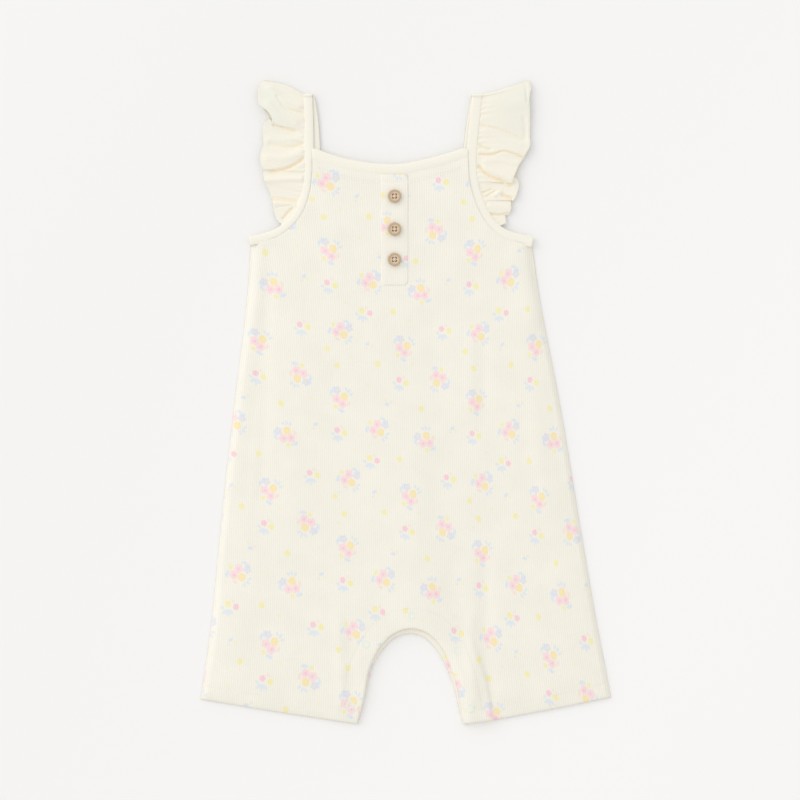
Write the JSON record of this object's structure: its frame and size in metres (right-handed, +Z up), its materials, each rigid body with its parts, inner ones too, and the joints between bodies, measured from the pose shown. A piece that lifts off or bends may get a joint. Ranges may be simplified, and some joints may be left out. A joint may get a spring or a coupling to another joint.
{
  "type": "baby romper",
  "caption": "Sleeveless rib-knit baby romper laid flat, with gathered shoulder ruffles, bound neck and armholes, a buttoned placket and snap-fastened inseams.",
  "frame": {"origin": "middle of the underside of the whole romper's bounding box, on the surface it lies on", "axes": "+Y from the leg hems to the neck, +Z up out of the front of the romper, +X to the viewer's right when the front is looked at with the neck up"},
  "size_m": [0.3122, 0.4896, 0.0097],
  "materials": {
    "armhole_binding_left": "folded cream rib binding, matte",
    "armhole_binding_right": "folded cream rib binding, matte",
    "back_crotch_facing": "rib knit facing, cream, matte",
    "back_panel": "vertical rib knit, cream with a small printed flower repeat, matte",
    "button_bottom": "tan, lightly polished",
    "button_middle": "tan, lightly polished",
    "button_top": "tan, lightly polished",
    "front_panel": "vertical rib knit, cream with a small printed flower repeat, matte",
    "neck_binding_back": "folded cream rib binding, matte",
    "neck_binding_front": "folded cream rib binding, matte",
    "placket": "rib knit strip, cream with the same print, matte",
    "ruffle_left": "gathered cream cloth with a thin rolled edge, matte",
    "ruffle_right": "gathered cream cloth with a thin rolled edge, matte",
    "snap_crotch": "ivory, satin, under the cloth's own colour",
    "snap_left_lower": "ivory, satin, under the cloth's own colour",
    "snap_left_upper": "ivory, satin, under the cloth's own colour",
    "snap_right_lower": "ivory, satin, under the cloth's own colour",
    "snap_right_upper": "ivory, satin, under the cloth's own colour"
  },
  "bodies": {
    "root": {"armhole_binding_left": "armhole_binding_left", "armhole_binding_right": "armhole_binding_right", "back_crotch_facing": "back_crotch_facing", "back_panel": "back_panel", "button_bottom": "button_bottom", "button_middle": "button_middle", "button_top": "button_top", "front_panel": "front_panel", "neck_binding_back": "neck_binding_back", "neck_binding_front": "neck_binding_front", "placket": "placket", "ruffle_left": "ruffle_left", "ruffle_right": "ruffle_right", "snap_crotch": "snap_crotch", "snap_left_lower": "snap_left_lower", "snap_left_upper": "snap_left_upper", "snap_right_lower": "snap_right_lower", "snap_right_upper": "snap_right_upper"}
  },
  "joints": []
}
